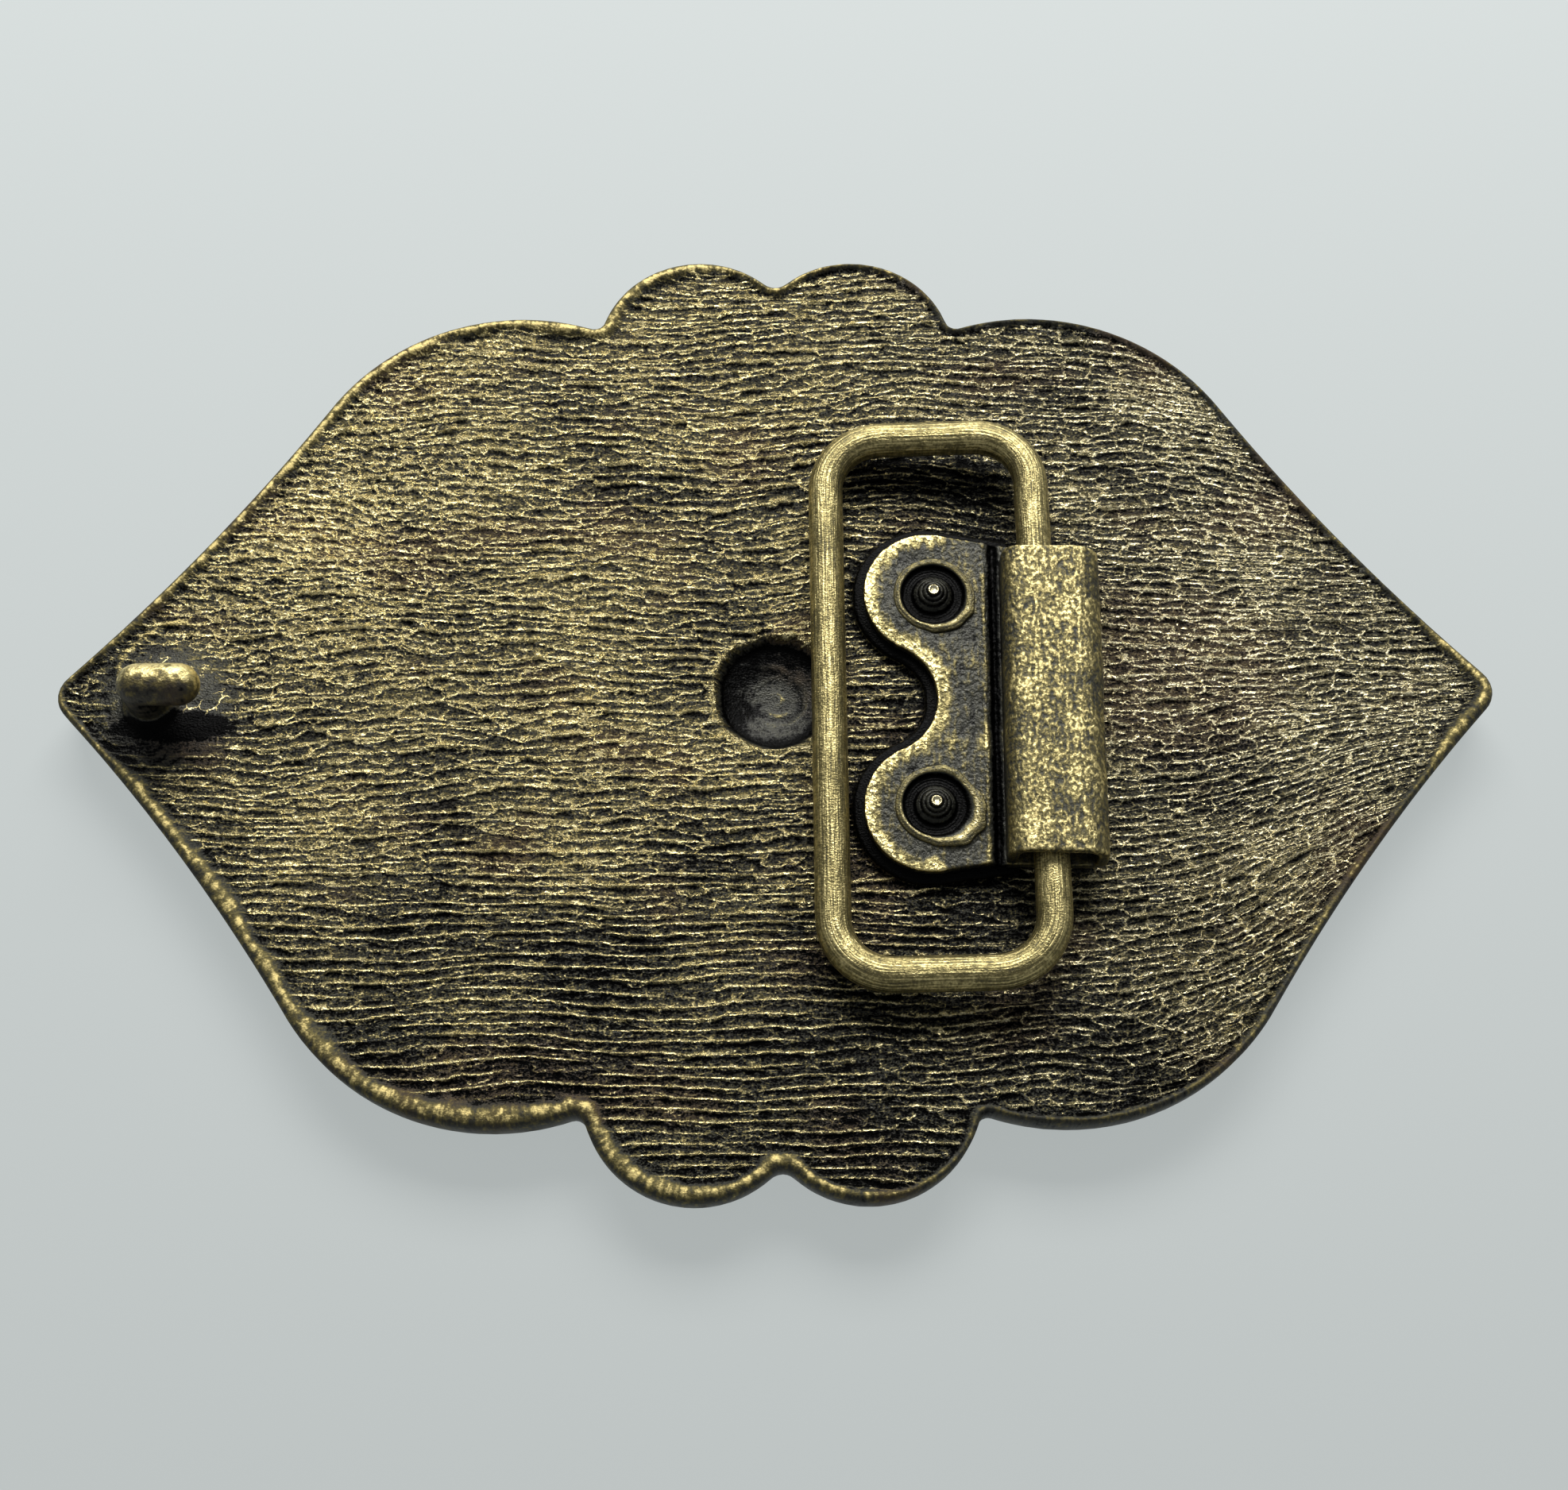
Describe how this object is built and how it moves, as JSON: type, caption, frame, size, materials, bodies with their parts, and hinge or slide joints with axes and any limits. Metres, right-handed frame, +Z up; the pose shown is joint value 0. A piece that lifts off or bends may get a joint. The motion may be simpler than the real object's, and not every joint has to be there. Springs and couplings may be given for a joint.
{
  "type": "plate belt buckle",
  "caption": "Cast plate belt buckle lying face down: a lobed pointed plate with a wrinkled back, a raised rim, a bent hook, and a riveted bracket hinging a wire bail for the strap.",
  "frame": {"origin": "on the surface the buckle lies on, below the middle of the plate's bounding box", "axes": "+X along the buckle from the hook's end towards the bail's end, +Y along the belt's width, +Z up out of the back"},
  "size_m": [0.107, 0.075, 0.0097],
  "materials": {
    "cast_brass": "cast brass with an antiqued back, dark in the hollows and worn bright on the crests, rim, hook and post heads",
    "sheet_brass": "stamped brass sheet, rubbed and slightly tarnished",
    "wire_brass": "drawn brass wire with fine lengthwise lines, bright"
  },
  "bodies": {
    "plate": {"plate": "cast_brass", "bracket": "sheet_brass"},
    "bail": {"bail": "wire_brass"}
  },
  "joints": [
    {"name": "bail_swing", "type": "hinge", "parent": "plate", "child": "bail", "pos_m": [0.01925, -0.001, 0.00692], "axis": [0, 1, 0], "range_deg": [0, 186]}
  ]
}
